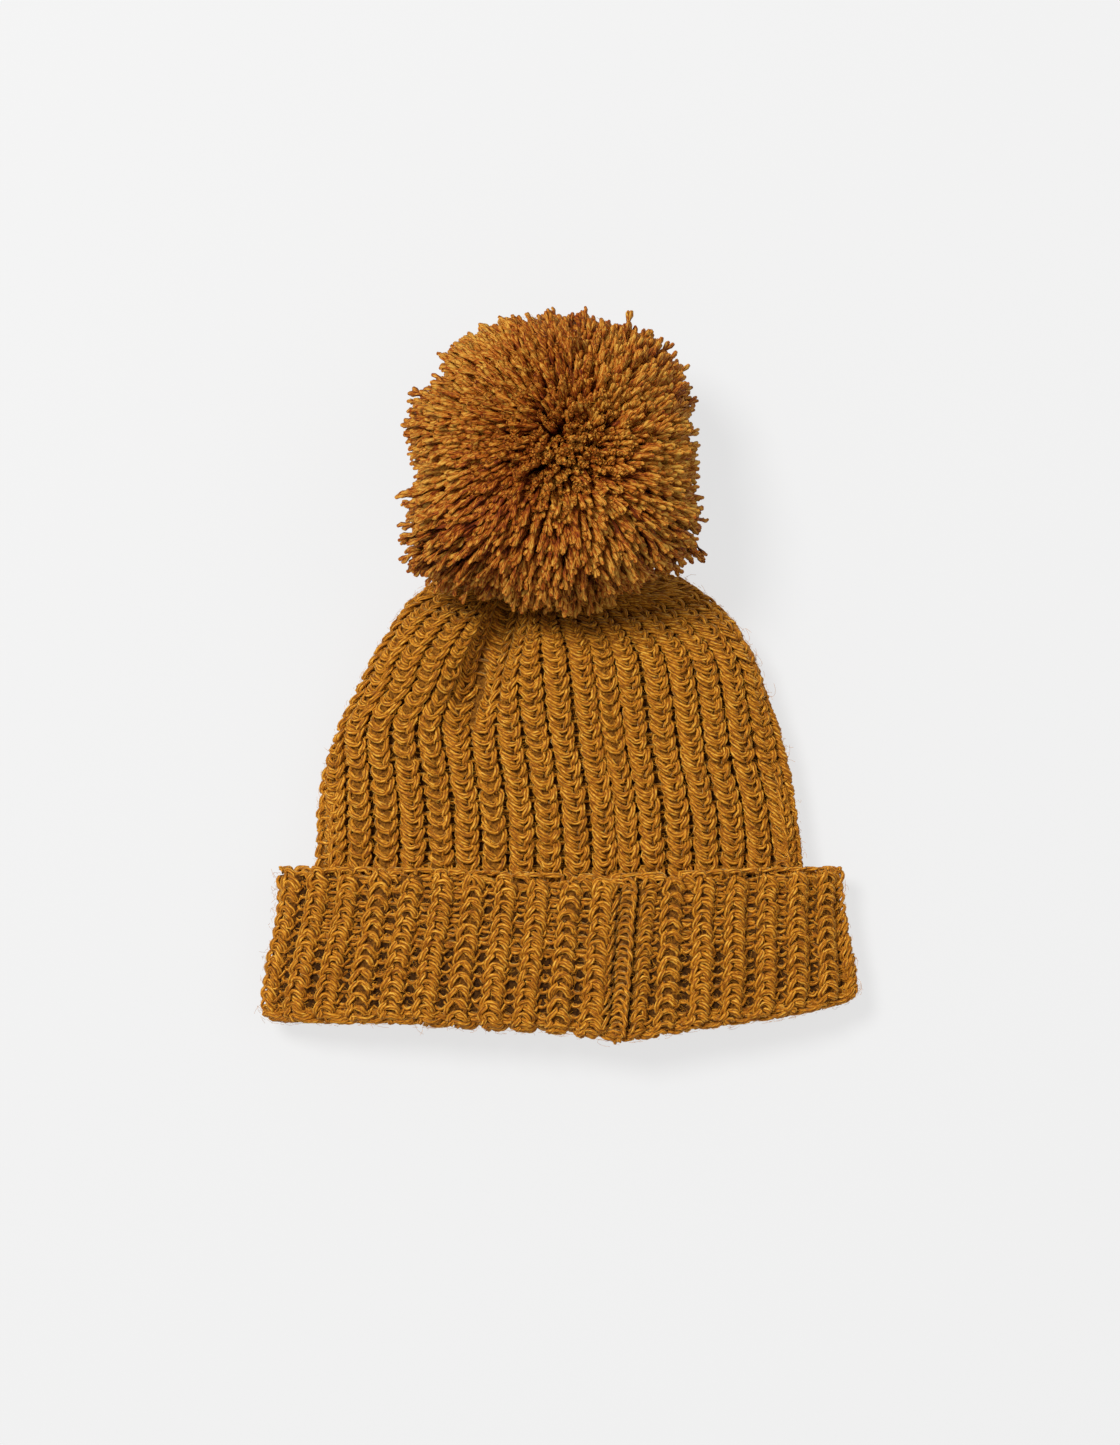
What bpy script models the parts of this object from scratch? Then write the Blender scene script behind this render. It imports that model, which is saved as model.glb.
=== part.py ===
"""Knit beanie with a turned-up brim and a yarn pompom, lying flat on a table.

+Z is up from the table, +Y runs from the brim to the pompom and +X is to the
wearer's right-hand side of the flat hat. The origin is the centre of the
footprint, on the table.
"""

import math

import bpy
import bmesh
import numpy as np

MM = 0.001

# ---- driving dimensions, in millimetres ----
HEM_Y = -116.0            # lower end of the body knit, inside the brim fold
FOLD_Y = -119.6           # outside of the brim fold
CUFF_TOP_Y = -65.6        # free upper end of the turned-up band
MID_Z = 14.5              # height of the brim's mid plane
BODY_WALL = 4.6           # thickness of the body's rib knit
CUFF_WALL = 4.5           # thickness of the turned-up band
BODY_HALF_DEPTH = 9.6     # half the thickness of the body inside the brim
CUFF_HALF_DEPTH = 14.9    # half the thickness of the brim before it is flattened
CUFF_HALF_WIDTH_TOP = 93.6
CUFF_HALF_WIDTH_FOLD = 98.4
CUFF_INNER_HALF_DEPTH = 10.0
GAP = 0.35                # clearance kept between neighbouring pieces

# Stations of the body: distance along the hat, half width, half depth, height of
# the middle, lean of the section towards the pompom in degrees.
STATIONS = (
    (-116.0, 86.5, 9.6, 14.5, 0.0),
    (-90.0, 84.0, 9.6, 14.5, 0.0),
    (-64.0, 82.0, 9.6, 14.5, 0.0),
    (-46.0, 79.6, 10.9, 14.0, 0.0),
    (-22.0, 74.6, 13.4, 14.4, 0.0),
    (2.0, 65.0, 15.6, 16.2, 3.0),
    (14.0, 58.3, 15.9, 16.6, 12.0),
    (23.0, 51.5, 15.2, 15.8, 24.0),
    (30.0, 43.5, 13.8, 13.1, 37.0),
)
CROWN_DOME = 4.0          # height of the gathered end over its rim
CROWN_WALL = 4.2          # thickness of the knit at the gathered end
GATHER_HOLE = 4.0         # radius left in the middle of the gathered stitches
CROWN_SHIFT_X = -2.1      # the gathered end sits a little left of the middle

SEAM_X = 24.3             # the back seam, right of the middle at the brim
SEAM_TWIST = -0.042       # share of the girth by which the ribs drift to the left
SEAM_GROOVE = 2.4
SEAM_YARN = 0.8           # radius of the sewing yarn
RIM_YARN = 1.5            # radius of the cast-on cord

TIE_LENGTH = 50.6         # from the gathered end to the middle of the pompom
POMPOM_RADIUS = 46.2
POMPOM_CHANNEL = 2.6
POMPOM_CORE = 7.5
TIE_YARN = 1.0

AROUND = 44               # even samples round a section


# ---- small helpers ----
def hermite(xs, ys, x):
    """Smooth curve through stations."""
    xs = np.asarray(xs, float)
    ys = np.asarray(ys, float)
    steps = np.diff(ys) / np.diff(xs)
    slopes = np.empty(len(xs))
    slopes[0], slopes[-1] = steps[0], steps[-1]
    for i in range(1, len(xs) - 1):
        left, right = steps[i - 1], steps[i]
        same_way = left * right > 0
        slopes[i] = 2 * left * right / (left + right) if same_way else 0.0
    i = int(np.clip(np.searchsorted(xs, x) - 1, 0, len(xs) - 2))
    h = xs[i + 1] - xs[i]
    t = (x - xs[i]) / h
    return float(
        (2 * t**3 - 3 * t**2 + 1) * ys[i]
        + (t**3 - 2 * t**2 + t) * h * slopes[i]
        + (-2 * t**3 + 3 * t**2) * ys[i + 1]
        + (t**3 - t**2) * h * slopes[i + 1]
    )


def smooth_step(t):
    t = min(1.0, max(0.0, t))
    return t * t * (3 - 2 * t)


def section(half_width, half_depth, side, face, shares):
    """Points (x, w) of a flattened oval at the given shares of its girth.

    Share 0 is the middle of the upper face and a positive share goes to +X.
    """
    turn = np.linspace(0.0, 2 * math.pi, 1441)
    s, c = np.sin(turn), np.cos(turn)
    x = half_width * np.sign(s) * np.abs(s) ** (2 / side)
    w = half_depth * np.sign(c) * np.abs(c) ** (2 / face)
    run = np.concatenate([[0], np.cumsum(np.hypot(np.diff(x), np.diff(w)))])
    want = (np.asarray(shares) % 1.0) * run[-1]
    return np.interp(want, run, x), np.interp(want, run, w), run[-1]


def body_station(y):
    """Half width, half depth, middle height and lean of the body at y."""
    ys = [row[0] for row in STATIONS]
    return [hermite(ys, [row[k] for row in STATIONS], y) for k in (1, 2, 3, 4)]


def drift(y):
    """How far round the girth the ribs have drifted at y."""
    return SEAM_TWIST * smooth_step((y + 64.0) / 97.0)


LEAN = math.radians(STATIONS[-1][4])
OUT = np.array([0.0, math.cos(LEAN), math.sin(LEAN)])       # out of the gathered end
ACROSS = np.array([0.0, -math.sin(LEAN), math.cos(LEAN)])
RIM_CENTRE = np.array([CROWN_SHIFT_X, STATIONS[-1][0], STATIONS[-1][3]])
TIE = RIM_CENTRE + OUT * CROWN_DOME                         # where the pompom is tied on
POMPOM_CENTRE = TIE + OUT * TIE_LENGTH


def shift_x(y):
    return CROWN_SHIFT_X * smooth_step((y + 30.0) / 60.0)


def girth_shares():
    """Even samples, with the groove of the seam cut in as extra ones."""
    a, b, _, _ = body_station(-62.0)
    _, _, girth = section(a, b, 3.0, 1.7, [0.0])
    seam = SEAM_X / girth
    groove = [seam + offset / girth for offset in (-2.1, -1.45, 1.45, 2.1)]
    even = [i / AROUND for i in range(AROUND)]
    clear = [s for s in even if abs(s - seam) > 3.4 / girth]
    shares = sorted(clear + groove)
    in_groove = [abs(s - seam) < 1.6 / girth for s in shares]
    return np.array(shares), np.array(in_groove), seam


SHARES, IN_GROOVE, SEAM_SHARE = girth_shares()


def tilted_ring(centre, lean, a, b, side, face, shares, groove=0.0):
    x, w, _ = section(a, b, side, face, shares)
    if groove:
        w = np.where(IN_GROOVE, w - groove, w)
    across = np.array([0.0, -math.sin(lean), math.cos(lean)])
    return centre + np.outer(x, [1.0, 0.0, 0.0]) + np.outer(w, across)


def ring_mesh(name, rings):
    """Closed body from rings that run in a loop."""
    bm = bmesh.new()
    loops = [[bm.verts.new(tuple(p * MM)) for p in ring] for ring in rings]
    for k in range(len(loops)):
        near, far = loops[k], loops[(k + 1) % len(loops)]
        count = len(near)
        for j in range(count):
            bm.faces.new((near[j], near[(j + 1) % count], far[(j + 1) % count], far[j]))
    bmesh.ops.recalc_face_normals(bm, faces=bm.faces[:])
    mesh = bpy.data.meshes.new(name)
    bm.to_mesh(mesh)
    bm.free()
    mesh.shade_smooth()
    return mesh


def material(name, colour, roughness):
    mat = bpy.data.materials.new(name)
    mat.use_nodes = True
    shader = mat.node_tree.nodes["Principled BSDF"]
    shader.inputs["Base Color"].default_value = (*colour, 1.0)
    shader.inputs["Roughness"].default_value = roughness
    shader.inputs["Metallic"].default_value = 0.0
    mat.diffuse_color = (*colour, 1.0)
    return mat


def place(name, data, mat, at=(0.0, 0.0, 0.0), parent=None):
    """New object whose data is in world position, moved so its origin is at the given point."""
    obj = bpy.data.objects.new(name, data)
    bpy.context.scene.collection.objects.link(obj)
    data.materials.append(mat)
    at = np.asarray(at, float) * MM
    if isinstance(data, bpy.types.Mesh):
        for vertex in data.vertices:
            vertex.co = [vertex.co[k] - at[k] for k in range(3)]
    else:
        for spline in data.splines:
            for point in spline.points:
                point.co = [point.co[k] - at[k] for k in range(3)] + [1.0]
    obj.location = at - (np.zeros(3) if parent is None else np.array(parent.location))
    if parent is not None:
        obj.parent = parent
    return obj


def yarn(name, points, radius, closed=False, resolution=2):
    """Round cord along points given in millimetres."""
    curve = bpy.data.curves.new(name, "CURVE")
    curve.dimensions = "3D"
    curve.bevel_depth = radius * MM
    curve.bevel_resolution = resolution
    curve.use_fill_caps = not closed
    spline = curve.splines.new("POLY")
    spline.points.add(len(points) - 1)
    for slot, p in zip(spline.points, points):
        slot.co = (p[0] * MM, p[1] * MM, p[2] * MM, 1.0)
    spline.use_cyclic_u = closed
    return curve


def empty(name, at):
    obj = bpy.data.objects.new(name, None)
    obj.location = [v * MM for v in at]
    bpy.context.scene.collection.objects.link(obj)
    return obj


# ---- the scene is cleared first ----
for old in list(bpy.data.objects):
    bpy.data.objects.remove(old, do_unlink=True)

wool = material("wool_rib", (0.52, 0.24, 0.035), 0.95)
wool_reverse = material("wool_rib_reverse", (0.47, 0.21, 0.03), 0.95)
wool_yarn = material("wool_yarn", (0.42, 0.18, 0.025), 0.95)
wool_tuft = material("wool_tuft", (0.56, 0.27, 0.045), 1.0)


# ---- body of the hat: one knitted tube, gathered shut at its upper end ----
def body_rings():
    outer, inner = [], []
    for y in np.concatenate([
        [HEM_Y, -104.0, -90.0, -77.0, -64.0],
        np.linspace(-55.0, STATIONS[-1][0], 13),
    ]):
        a, b, z, lean = body_station(y)
        centre = np.array([shift_x(y), y, z])
        rounding = smooth_step((y - 0.0) / 32.0)
        side, face = 3.0 - rounding, 1.7 + 0.3 * rounding
        shares = SHARES + drift(y)
        groove = SEAM_GROOVE * (1.0 - smooth_step((y - 18.0) / 8.0))
        lean = math.radians(lean)
        outer.append(tilted_ring(centre, lean, a, b, side, face, shares, groove))
        back = CROWN_WALL * smooth_step((y - 8.0) / 22.0)
        out = np.array([0.0, math.cos(lean), math.sin(lean)])
        inner.append(
            tilted_ring(
                centre - out * back, lean, a - BODY_WALL, b - BODY_WALL, side, face, shares
            )
        )
    edge_a, edge_b = STATIONS[-1][1], STATIONS[-1][2]
    for share in (0.86, 0.68, 0.5, 0.33, 0.2, 0.0):
        a = GATHER_HOLE + (edge_a - GATHER_HOLE) * share
        b = GATHER_HOLE + (edge_b - GATHER_HOLE) * share
        shares = SHARES + SEAM_TWIST
        rise = CROWN_DOME * (1.0 - (share / 1.0) ** 2)
        centre = RIM_CENTRE + OUT * rise
        outer.append(tilted_ring(centre, LEAN, a, b, 2.0, 2.0, shares))
        a = GATHER_HOLE + (edge_a - BODY_WALL - GATHER_HOLE) * share
        b = GATHER_HOLE + (edge_b - BODY_WALL - GATHER_HOLE) * share
        inner.append(tilted_ring(centre - OUT * CROWN_WALL, LEAN, a, b, 2.0, 2.0, shares))
    return outer + inner[::-1]


place("crown_body", ring_mesh("crown_body", body_rings()), wool)


# ---- sewing yarn up the body's back seam, sunk in its groove ----
def body_seam_points():
    points = []
    for y in np.linspace(HEM_Y + 1.0, 17.0, 44):
        a, b, z, lean = body_station(y)
        rounding = smooth_step((y - 0.0) / 32.0)
        x, w, _ = section(
            a, b, 3.0 - rounding, 1.7 + 0.3 * rounding, [SEAM_SHARE + drift(y)]
        )
        lean = math.radians(lean)
        w = w[0] - 1.25
        points.append((
            shift_x(y) + x[0],
            y - w * math.sin(lean),
            z + w * math.cos(lean),
        ))
    return points


place("body_seam_yarn", yarn("body_seam_yarn", body_seam_points(), SEAM_YARN), wool_yarn)


# ---- drawn yarn that closes the gathered stitches, inside the crown ----
def gather_points():
    radius, base = 10.0, CROWN_WALL + 1.8
    points = []
    for i in range(36):
        turn = 2 * math.pi * i / 36
        depth = base + 1.15 * math.sin(turn) ** 2
        wave = 0.15 * math.cos(6 * turn)
        points.append(
            TIE
            - OUT * (depth - wave)
            + np.array([1.0, 0.0, 0.0]) * radius * math.cos(turn)
            + ACROSS * 0.62 * radius * math.sin(turn)
        )
    return points


place(
    "crown_gather_yarn",
    yarn("crown_gather_yarn", gather_points(), 0.9, closed=True),
    wool_yarn,
)


# ---- turned-up band, folded round the body's hem ----
cuff_slide = empty("cuff_slide", (0.0, -92.0, MID_Z))


def cuff_half_width(y):
    return CUFF_HALF_WIDTH_TOP + (CUFF_HALF_WIDTH_FOLD - CUFF_HALF_WIDTH_TOP) * smooth_step(
        (CUFF_TOP_Y - y) / 48.0
    )


def cuff_rings():
    rings = []

    def ring(y, a, b, groove=0.0):
        points = tilted_ring(
            np.array([0.0, y, MID_Z]), 0.0, a, b, 3.0, 1.7, SHARES, groove
        )
        points[:, 2] = np.maximum(points[:, 2], 0.0)   # the underside lies flat
        rings.append(points)

    ring(CUFF_TOP_Y, cuff_half_width(-66) - 1.0, CUFF_HALF_DEPTH - 1.0, 1.4)
    for y in (-66.8, -78.0, -90.0, -102.0, -111.0):
        ring(y, cuff_half_width(y), CUFF_HALF_DEPTH, SEAM_GROOVE)
    ring(-115.6, CUFF_HALF_WIDTH_FOLD - 0.9, CUFF_HALF_DEPTH - 0.8)
    ring(-118.4, CUFF_HALF_WIDTH_FOLD - 3.0, CUFF_HALF_DEPTH - 2.6)
    ring(FOLD_Y, CUFF_HALF_WIDTH_FOLD - 6.6, CUFF_HALF_DEPTH - 5.2)
    ring(FOLD_Y + 0.3, 84.4, 7.2)
    ring(-118.2, 82.4, 5.5)
    ring(HEM_Y - GAP, 82.0, 5.1)
    ring(HEM_Y - GAP, 93.4, CUFF_INNER_HALF_DEPTH)
    ring(-90.0, cuff_half_width(-90) - CUFF_WALL, CUFF_INNER_HALF_DEPTH)
    ring(CUFF_TOP_Y, cuff_half_width(-66) - CUFF_WALL, CUFF_INNER_HALF_DEPTH)
    return rings


place(
    "turned_up_cuff",
    ring_mesh("turned_up_cuff", cuff_rings()),
    wool_reverse,
    at=(0.0, -92.0, MID_Z),
    parent=cuff_slide,
)


def cuff_seam_points():
    points = []
    for y in np.linspace(-67.6, -110.0, 22):
        x, w, _ = section(cuff_half_width(y), CUFF_HALF_DEPTH, 3.0, 1.7, [SEAM_SHARE])
        points.append((x[0], y, MID_Z + w[0] - 1.25))
    return points


place(
    "cuff_seam_yarn",
    yarn("cuff_seam_yarn", cuff_seam_points(), SEAM_YARN),
    wool_yarn,
    at=(0.0, -92.0, MID_Z),
    parent=cuff_slide,
)


# ---- cast-on cord along the free upper edge of the band ----
def rim_points():
    y = CUFF_TOP_Y + RIM_YARN + GAP
    x, w, _ = section(
        cuff_half_width(-66) - 2.3, CUFF_HALF_DEPTH - 2.5, 3.0, 1.7,
        [i / 72 for i in range(72)],
    )
    return [(x[i], y, MID_Z + w[i]) for i in range(72)]


place(
    "cast_on_edge",
    yarn("cast_on_edge", rim_points(), RIM_YARN, closed=True),
    wool_yarn,
    at=(0.0, -92.0, MID_Z),
    parent=cuff_slide,
)


# ---- pompom and the tie that holds it ----
tie_joint = empty("tie_joint", TIE)


def anchor_knot_points():
    """Overhand knot behind the gathered stitches."""
    centre = TIE - OUT * 9.6
    points = []
    for i in range(48):
        t = 2 * math.pi * i / 48
        local = np.array([
            math.sin(t) + 2 * math.sin(2 * t),
            math.cos(t) - 2 * math.cos(2 * t),
            -1.15 * math.sin(3 * t),
        ]) * 1.2
        points.append(
            centre
            + np.array([1.0, 0.0, 0.0]) * local[0]
            + ACROSS * local[1]
            + OUT * local[2]
        )
    return points


place(
    "pompom_anchor_knot",
    yarn("pompom_anchor_knot", anchor_knot_points(), 0.95, closed=True),
    wool_yarn,
    at=TIE,
    parent=tie_joint,
)

tie_run = [TIE + OUT * d for d in np.linspace(-6.4, TIE_LENGTH + 1.0, 24)]
place(
    "pompom_anchor_yarn",
    yarn("pompom_anchor_yarn", tie_run, TIE_YARN),
    wool_yarn,
    at=TIE,
    parent=tie_joint,
)


def binding_points():
    """Three tight turns round the middle of the yarn bundle."""
    points = []
    turns, pitch, radius = 3, 2.2, 4.4
    for i in range(turns * 16 + 1):
        angle = 2 * math.pi * i / 16
        points.append(
            POMPOM_CENTRE
            + OUT * pitch * (i / 16 - turns / 2)
            + np.array([1.0, 0.0, 0.0]) * radius * math.cos(angle)
            + ACROSS * radius * math.sin(angle)
        )
    return points


place(
    "pompom_binding",
    yarn("pompom_binding", binding_points(), 0.9),
    wool_yarn,
    at=TIE,
    parent=tie_joint,
)


def pompom_mesh():
    """Ball of yarn ends, turned about the tie, with a channel in to its binding."""
    profile = []
    start = math.asin(POMPOM_CHANNEL / POMPOM_RADIUS)
    for angle in np.linspace(start, math.pi, 19):
        profile.append((
            POMPOM_RADIUS * math.sin(angle), TIE_LENGTH - POMPOM_RADIUS * math.cos(angle)
        ))
    core_start = math.asin(POMPOM_CHANNEL / POMPOM_CORE)
    core = [
        (POMPOM_CORE * math.sin(angle), TIE_LENGTH - POMPOM_CORE * math.cos(angle))
        for angle in np.linspace(math.pi, core_start, 8)
    ]
    bm = bmesh.new()
    segments = 32

    def ring(radius, height):
        if radius < 1e-6:
            return [bm.verts.new(tuple((TIE + OUT * height) * MM))]
        return [
            bm.verts.new(tuple((
                TIE + OUT * height
                + np.array([1.0, 0.0, 0.0]) * radius * math.cos(2 * math.pi * k / segments)
                + ACROSS * radius * math.sin(2 * math.pi * k / segments)
            ) * MM))
            for k in range(segments)
        ]

    def bridge(near, far):
        for k in range(segments):
            nxt = (k + 1) % segments
            if len(near) == 1:
                bm.faces.new((near[0], far[nxt], far[k]))
            elif len(far) == 1:
                bm.faces.new((near[k], near[nxt], far[0]))
            else:
                bm.faces.new((near[k], near[nxt], far[nxt], far[k]))

    outer = [ring(r, h) for r, h in profile]
    inside = [ring(r, h) for r, h in core]
    for chain in (outer, inside):
        for near, far in zip(chain, chain[1:]):
            bridge(near, far)
    bridge(inside[-1], outer[0])
    for vertex in bm.verts:                  # it rests on the table on a small flat
        vertex.co.z = max(vertex.co.z, 0.0)
    bmesh.ops.recalc_face_normals(bm, faces=bm.faces[:])
    mesh = bpy.data.meshes.new("pompom")
    bm.to_mesh(mesh)
    bm.free()
    mesh.shade_smooth()
    return mesh


place("pompom", pompom_mesh(), wool_tuft, at=TIE, parent=tie_joint)
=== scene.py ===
"""Looks of the knit beanie: every stitch of the rib as plied yarn, and the pompom as cut yarn ends."""

import math

import bpy
import numpy as np
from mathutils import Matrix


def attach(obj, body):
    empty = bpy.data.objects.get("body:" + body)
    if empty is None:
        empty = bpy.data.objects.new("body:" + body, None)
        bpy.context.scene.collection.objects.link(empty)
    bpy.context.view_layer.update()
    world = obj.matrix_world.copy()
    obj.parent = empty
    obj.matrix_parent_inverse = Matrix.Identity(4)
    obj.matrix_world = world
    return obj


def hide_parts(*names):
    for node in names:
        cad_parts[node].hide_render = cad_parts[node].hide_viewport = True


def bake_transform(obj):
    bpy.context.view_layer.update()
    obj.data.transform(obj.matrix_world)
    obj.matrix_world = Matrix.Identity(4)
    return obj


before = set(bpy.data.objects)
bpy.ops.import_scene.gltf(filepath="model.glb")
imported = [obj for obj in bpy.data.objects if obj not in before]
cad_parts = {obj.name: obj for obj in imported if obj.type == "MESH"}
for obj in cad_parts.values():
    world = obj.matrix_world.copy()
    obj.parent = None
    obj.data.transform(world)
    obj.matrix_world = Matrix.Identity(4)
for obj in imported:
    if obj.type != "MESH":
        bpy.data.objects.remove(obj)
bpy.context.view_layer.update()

MM = 0.001

# ---------------------------------------------------------------- dimensions, mm
RIBS = 37                     # ribs round the hat, the seam's own one among them
BODY_ROW = 4.4                # height of a row in the body
CUFF_ROW = 4.1
YARN = 0.90                   # half the yarn's broad side
STATIONS = (
    (-116.0, 86.5, 9.6, 14.5, 0.0),
    (-90.0, 84.0, 9.6, 14.5, 0.0),
    (-64.0, 82.0, 9.6, 14.5, 0.0),
    (-46.0, 79.6, 10.9, 14.0, 0.0),
    (-22.0, 74.6, 13.4, 14.4, 0.0),
    (2.0, 65.0, 15.6, 16.2, 3.0),
    (14.0, 58.3, 15.9, 16.6, 12.0),
    (23.0, 51.5, 15.2, 15.8, 24.0),
    (30.0, 43.5, 13.8, 13.1, 37.0),
)
MID_Z = 14.5
CROWN_DOME = 4.0
CROWN_SHIFT_X = -2.1
TIE_LENGTH = 50.6
LEAN = math.radians(37.0)
OUT = np.array([0.0, math.cos(LEAN), math.sin(LEAN)])
ACROSS = np.array([0.0, -math.sin(LEAN), math.cos(LEAN)])
RIM_CENTRE = np.array([CROWN_SHIFT_X, 30.0, 13.1])
TIE = RIM_CENTRE + OUT * CROWN_DOME
POM = TIE + OUT * TIE_LENGTH
SEAM_X = 23.0
FOLD_Y = -119.6
CUFF_TOP_Y = -65.6


# ---------------------------------------------------------------- helpers
def hermite(xs, ys, x):
    xs = np.asarray(xs, float)
    ys = np.asarray(ys, float)
    steps = np.diff(ys) / np.diff(xs)
    slopes = np.empty(len(xs))
    slopes[0], slopes[-1] = steps[0], steps[-1]
    for i in range(1, len(xs) - 1):
        left, right = steps[i - 1], steps[i]
        slopes[i] = 2 * left * right / (left + right) if left * right > 0 else 0.0
    x = np.asarray(x, float)
    i = np.clip(np.searchsorted(xs, x) - 1, 0, len(xs) - 2)
    h = xs[i + 1] - xs[i]
    t = (x - xs[i]) / h
    return (
        (2 * t**3 - 3 * t**2 + 1) * ys[i]
        + (t**3 - 2 * t**2 + t) * h * slopes[i]
        + (-2 * t**3 + 3 * t**2) * ys[i + 1]
        + (t**3 - t**2) * h * slopes[i + 1]
    )


def sstep(t):
    t = np.clip(t, 0.0, 1.0)
    return t * t * (3 - 2 * t)


def unit(v):
    return v / np.maximum(np.linalg.norm(v, axis=-1, keepdims=True), 1e-9)


def wave_noise(rng, x, scale, octaves=3):
    """Smooth noise along x, about -1 to 1, with its own phases."""
    out = np.zeros_like(x, dtype=float)
    for o in range(octaves):
        f = (1.0 + 0.83 * o) / scale
        out += np.sin(2 * np.pi * (x * f + rng.random())) * (0.8 ** o)
    return out / 1.6


def oval(a, b, side, face, n=1441):
    turn = np.linspace(0.0, 2 * math.pi, n)
    s, c = np.sin(turn), np.cos(turn)
    return (
        a * np.sign(s) * np.abs(s) ** (2 / side),
        b * np.sign(c) * np.abs(c) ** (2 / face),
    )


class Surface:
    """A tube of fabric: sigma is the share of the girth from the middle of the top face,
    v the distance along the ribs in mm and h the height off the surface in mm."""

    def __init__(self, points, cyclic=True):
        self.P = points                                  # [nv, ns, 3], mm
        self.cyclic = cyclic
        dv = np.gradient(points, axis=0)
        ds = np.roll(points, -1, axis=1) - np.roll(points, 1, axis=1)
        n = np.cross(ds, dv)
        self.N = unit(n)
        steps = np.linalg.norm(np.diff(points, axis=0), axis=2).mean(axis=1)
        self.v = np.concatenate([[0.0], np.cumsum(steps)])
        self.girth = np.linalg.norm(
            np.roll(points, -1, axis=1) - points, axis=2
        ).sum(axis=1)
        self.length = self.v[-1]

    def flip(self):
        self.N = -self.N
        return self

    def girth_at(self, v):
        return np.interp(v, self.v, self.girth)

    def at(self, sigma, v, h):
        """World position and outward normal."""
        ns = self.P.shape[1]
        row = np.interp(v, self.v, np.arange(len(self.v)))
        i = np.clip(row.astype(int), 0, len(self.v) - 2)
        fi = (row - i)[..., None]
        col = (sigma % 1.0) * ns
        j = col.astype(int) % ns
        fj = (col - np.floor(col))[..., None]
        j2 = (j + 1) % ns

        def mix(a):
            return (
                (a[i, j] * (1 - fj) + a[i, j2] * fj) * (1 - fi)
                + (a[i + 1, j] * (1 - fj) + a[i + 1, j2] * fj) * fi
            )

        n = unit(mix(self.N))
        return mix(self.P) + n * np.asarray(h)[..., None], n


# ---------------------------------------------------------------- the hat's surfaces
def groove_at(y):
    """The pleat pulled in left of the middle: its centre, depth and half width."""
    return (
        -19.5 + 0.36 * (y - 20.0),
        14.5 * sstep((y + 28.0) / 44.0),
        6.6,
    )


def body_surface(inside=False):
    ys = np.linspace(-115.5, 30.0, 150)
    rings = []
    ns = 1110
    sigma = np.arange(ns) / ns
    cols = [np.array([row[k] for row in STATIONS]) for k in range(5)]
    edge = None
    items = [(y, None) for y in ys] + [
        (30.0, q) for q in np.linspace(1.0, 0.085, 40)[1:]
    ]
    for y, q in items:
        a, b, z, lean = [float(hermite(cols[0], cols[k], y)) for k in (1, 2, 3, 4)]
        lean = math.radians(lean)
        rounding = float(sstep((y - 0.0) / 32.0))
        centre = np.array([CROWN_SHIFT_X * float(sstep((y + 30.0) / 60.0)), y, z])
        hang = 1.0 - float(sstep((y + 66.0) / 26.0))
        # the lying cloth spreads a little more on one side
        high, mid = math.exp(-(((y - 16.0) / 23.0) ** 2)), math.exp(-(((y + 32.0) / 20.0) ** 2))
        a += (1.8 * high + 1.6 * mid) * (1.0 if q is None else q)
        sideways = (3.3 * high - 0.9 * mid) * (1.0 if q is None else q)
        if q is not None:
            a, b, lean, rounding = a * q, b * q, LEAN, 1.0
            centre = RIM_CENTRE + OUT * CROWN_DOME * (1 - q * q)
        centre = centre + np.array([sideways, 0.0, 0.0])
        x, w = oval(a, b, 3.0 - rounding, 1.7 + 0.3 * rounding)
        plain = np.concatenate([[0], np.cumsum(np.hypot(np.diff(x), np.diff(w)))])[-1]
        if inside:
            x, w = x * (a - 4.4) / a, w * (b - 4.4) / b
        # pleat
        gx, gd, gw = groove_at(y)
        fade = 1.0 if q is None else q
        top = sstep((w / b + 0.1) / 0.5)
        w = w - gd * fade * np.exp(-(((x - gx * fade) / (gw * max(fade, 0.35))) ** 2)) * top * (0.55 if inside else 1.0)
        # a dent below the pleat, and soft unevenness of the lying cloth
        w = w - top * 3.6 * np.exp(-(((x + 29.5) / 9.0) ** 2) - ((y + 5.0) / 11.0) ** 2)
        w = w + top * 0.5 * np.sin(x / 17.0 + y / 23.0) + top * 0.35 * np.sin(x / 9.0 - y / 31.0 + 1.7)
        run = np.concatenate([[0], np.cumsum(np.hypot(np.diff(x), np.diff(w)))])
        total = run[-1]
        extra = max(0.0, total - plain) if not inside else 0.0
        drift = -0.042 * float(sstep((y + 52.0) / 85.0)) * plain
        s = (sigma + 0.5) % 1.0 - 0.5                     # -0.5 .. 0.5 from the top's middle
        base = (total - extra) * (1.0 + 0.17 * float(sstep((y + 34.0) / 48.0)) * (1.0 if q is None else q))
        pos = np.where(
            np.abs(s) <= 0.25,
            s * base + drift,
            0.0,
        )
        # the underside takes up the rest evenly
        right = 0.25 * base + drift
        left = -0.25 * base + drift
        span = total - (right - left)
        over = ((s - 0.25) % 1.0) / 0.5                   # 0..1 round the back
        pos = np.where(np.abs(s) > 0.25, right + over * span, pos)
        pos = pos % total
        px = np.interp(pos, run, x)
        pw = np.interp(pos, run, w)
        across = np.array([0.0, -math.sin(lean), math.cos(lean)])
        ring = centre + np.outer(px, [1.0, 0, 0]) + np.outer(pw, across)
        share = min(max((y - FOLD_Y) / (CUFF_TOP_Y - FOLD_Y), 0.0), 1.0)
        ring[:, 1] += bow(ring[:, 0] * 1.16, share) * hang
        rings.append(ring)
    return Surface(np.array(rings))


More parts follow.
